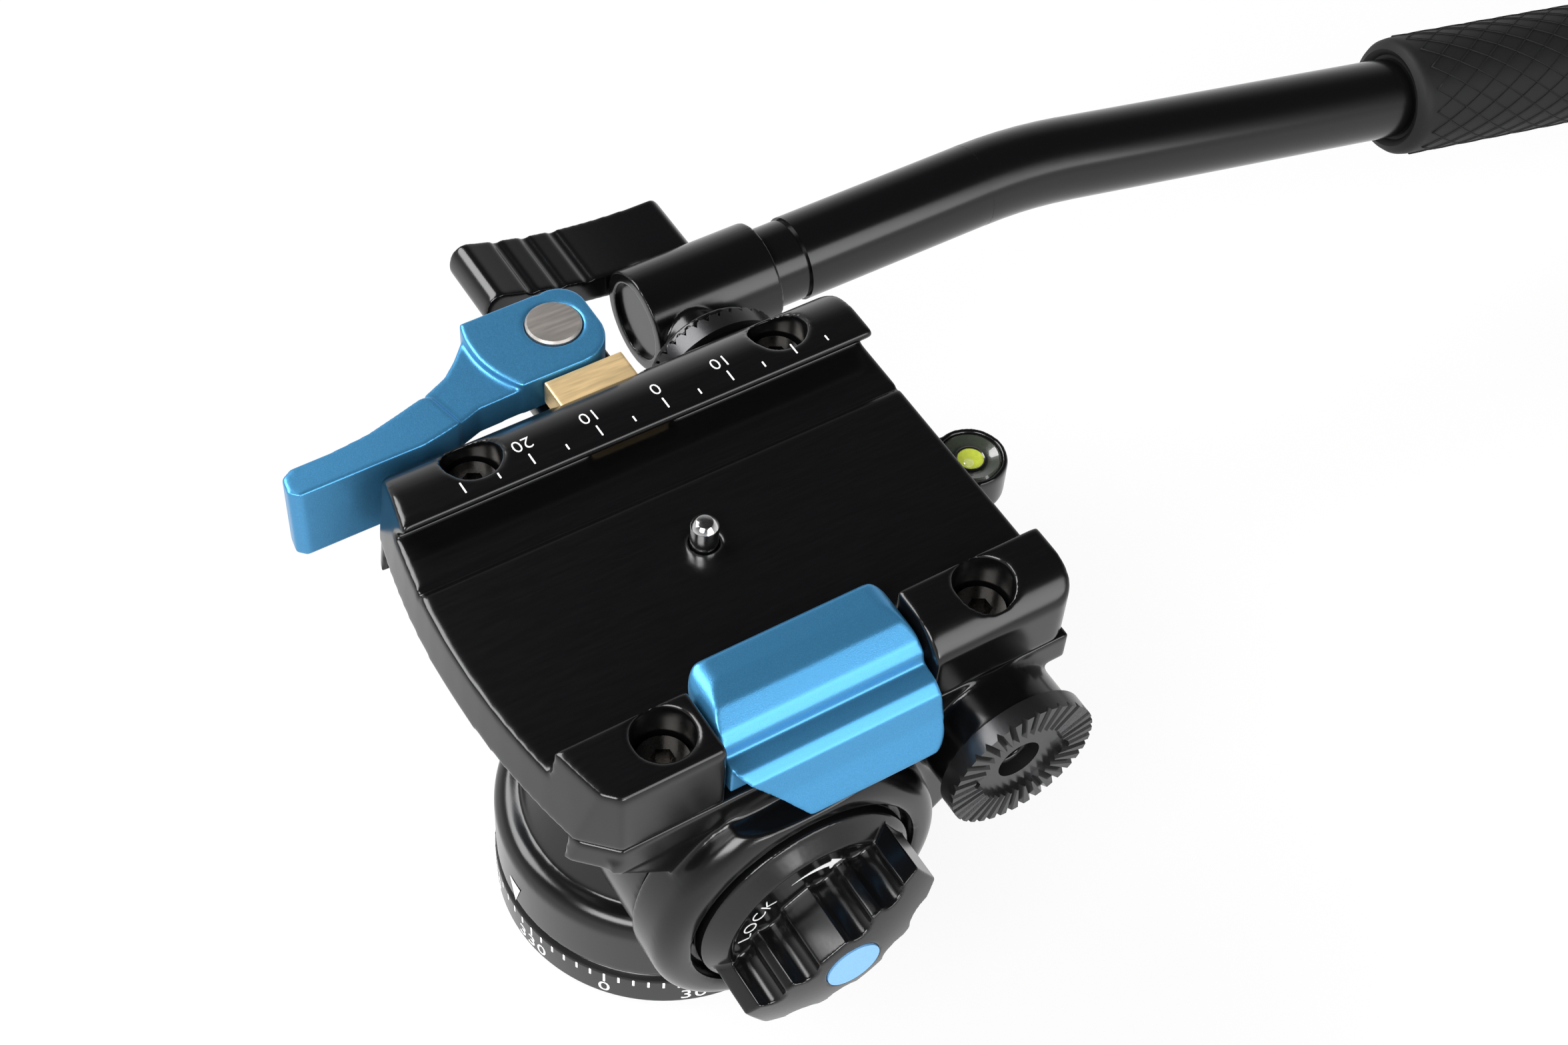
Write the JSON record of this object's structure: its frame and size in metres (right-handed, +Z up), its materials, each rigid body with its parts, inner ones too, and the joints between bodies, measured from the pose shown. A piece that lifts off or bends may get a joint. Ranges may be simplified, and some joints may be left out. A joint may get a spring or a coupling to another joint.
{
  "type": "fluid video head",
  "caption": "Compact tripod fluid head with a graduated pan base, tilt barrel, quick-release platform with lever clamp, tilt lock knob and a bent rear handle.",
  "frame": {"origin": "centre of the base's underside, at the mouth of the tripod thread", "axes": "+Z up along the pan axis, +Y towards the lens, +X to the operator's right along the tilt axis"},
  "size_m": [0.1207, 0.3142, 0.0776],
  "materials": {
    "black_metal": "satin black anodised",
    "steel": "turned",
    "dark_steel": "black oxide",
    "bronze": "oiled",
    "brass": "satin",
    "slip_plastic": "matt",
    "bare_aluminium": "turned",
    "blue_metal": "satin blue anodised",
    "bright_steel": "polished",
    "black_plastic": "satin",
    "pale_blue": "satin",
    "vial": "clear",
    "grip_rubber": "matt"
  },
  "bodies": {
    "base": {"pan_base": "black_metal", "pan_spindle": "steel", "pan_washer": "slip_plastic", "pan_friction_washer": "slip_plastic", "pan_nut": "steel"},
    "pan": {"pan_housing": "black_metal", "pan_bushing": "bronze", "pan_brake_pad": "brass", "tilt_bushings": "bronze", "drag_cup": "bare_aluminium", "counterbalance_spring": "steel"},
    "pan_lock": {"pan_knob": "black_plastic"},
    "tilt": {"cheek_left": "black_metal", "cheek_right": "black_metal", "tilt_shaft": "steel", "drag_drum": "bare_aluminium", "platform": "black_metal", "platform_screws": "dark_steel", "rosette_left": "black_metal", "rosette_right": "black_metal", "rosette_screws": "dark_steel", "bubble_vial": "vial", "lever_pin": "steel", "catch_pin": "steel", "catch_spring": "steel", "stop_spring": "steel", "stop_cover": "dark_steel"},
    "lever": {"clamp_lever": "blue_metal"},
    "jaw": {"clamp_jaw": "brass"},
    "catch": {"safety_catch": "blue_metal"},
    "stop": {"stop_pin": "bright_steel"},
    "tilt_lock": {"tilt_knob": "black_plastic", "knob_cap": "pale_blue"},
    "handle": {"handle_arm": "black_metal", "handle_plug": "black_plastic", "handle_tube": "black_metal", "handle_grip": "grip_rubber", "grip_cap": "black_plastic"},
    "wing": {"wing_knob": "black_plastic"}
  },
  "joints": [
    {"name": "pan_turn", "type": "hinge", "parent": "base", "child": "pan", "pos_m": [0, 0, 0.0075], "axis": [0, 0, 1], "continuous": true},
    {"name": "pan_lock_turn", "type": "hinge", "parent": "pan", "child": "pan_lock", "pos_m": [0.026, 0, 0.0125], "axis": [1, 0, 0], "range_deg": [-180, 180]},
    {"name": "tilt_turn", "type": "hinge", "parent": "pan", "child": "tilt", "pos_m": [0, 0, 0.0413], "axis": [1, 0, 0], "range_deg": [-70, 60]},
    {"name": "tilt_lock_turn", "type": "hinge", "parent": "tilt", "child": "tilt_lock", "pos_m": [-0.036, 0, 0.0413], "axis": [1, 0, 0], "range_deg": [-90, 90]},
    {"name": "lever_turn", "type": "hinge", "parent": "tilt", "child": "lever", "pos_m": [0.0421, -0.0055, 0.0685], "axis": [0, 0, 1], "range_deg": [-90, 0]},
    {"name": "jaw_slide", "type": "slide", "parent": "tilt", "child": "jaw", "axis": [1, 0, 0], "range_m": [0, 0.0006]},
    {"name": "catch_turn", "type": "hinge", "parent": "tilt", "child": "catch", "pos_m": [-0.0255, -0.0051, 0.0688], "axis": [0, -1, 0], "range_deg": [0, 10], "stiffness_Nm_per_rad": 0.2, "springref_deg": -17.19},
    {"name": "stop_slide", "type": "slide", "parent": "tilt", "child": "stop", "axis": [0, 0, -1], "range_m": [0, 0.0026], "stiffness_N_per_m": 400, "springref_m": -0.002, "deforming": ["stop_spring"]},
    {"name": "handle_turn", "type": "hinge", "parent": "tilt", "child": "handle", "pos_m": [0.0424, -0.03, 0.055], "axis": [1, 0, 0], "range_deg": [-75, 75]},
    {"name": "wing_turn", "type": "hinge", "parent": "handle", "child": "wing", "pos_m": [0.0613, -0.03, 0.055], "axis": [1, 0, 0], "continuous": true}
  ],
  "couplings": [
    {"joint": "jaw_slide", "follows": "lever_turn", "m_per_rad": -0.000381}
  ]
}
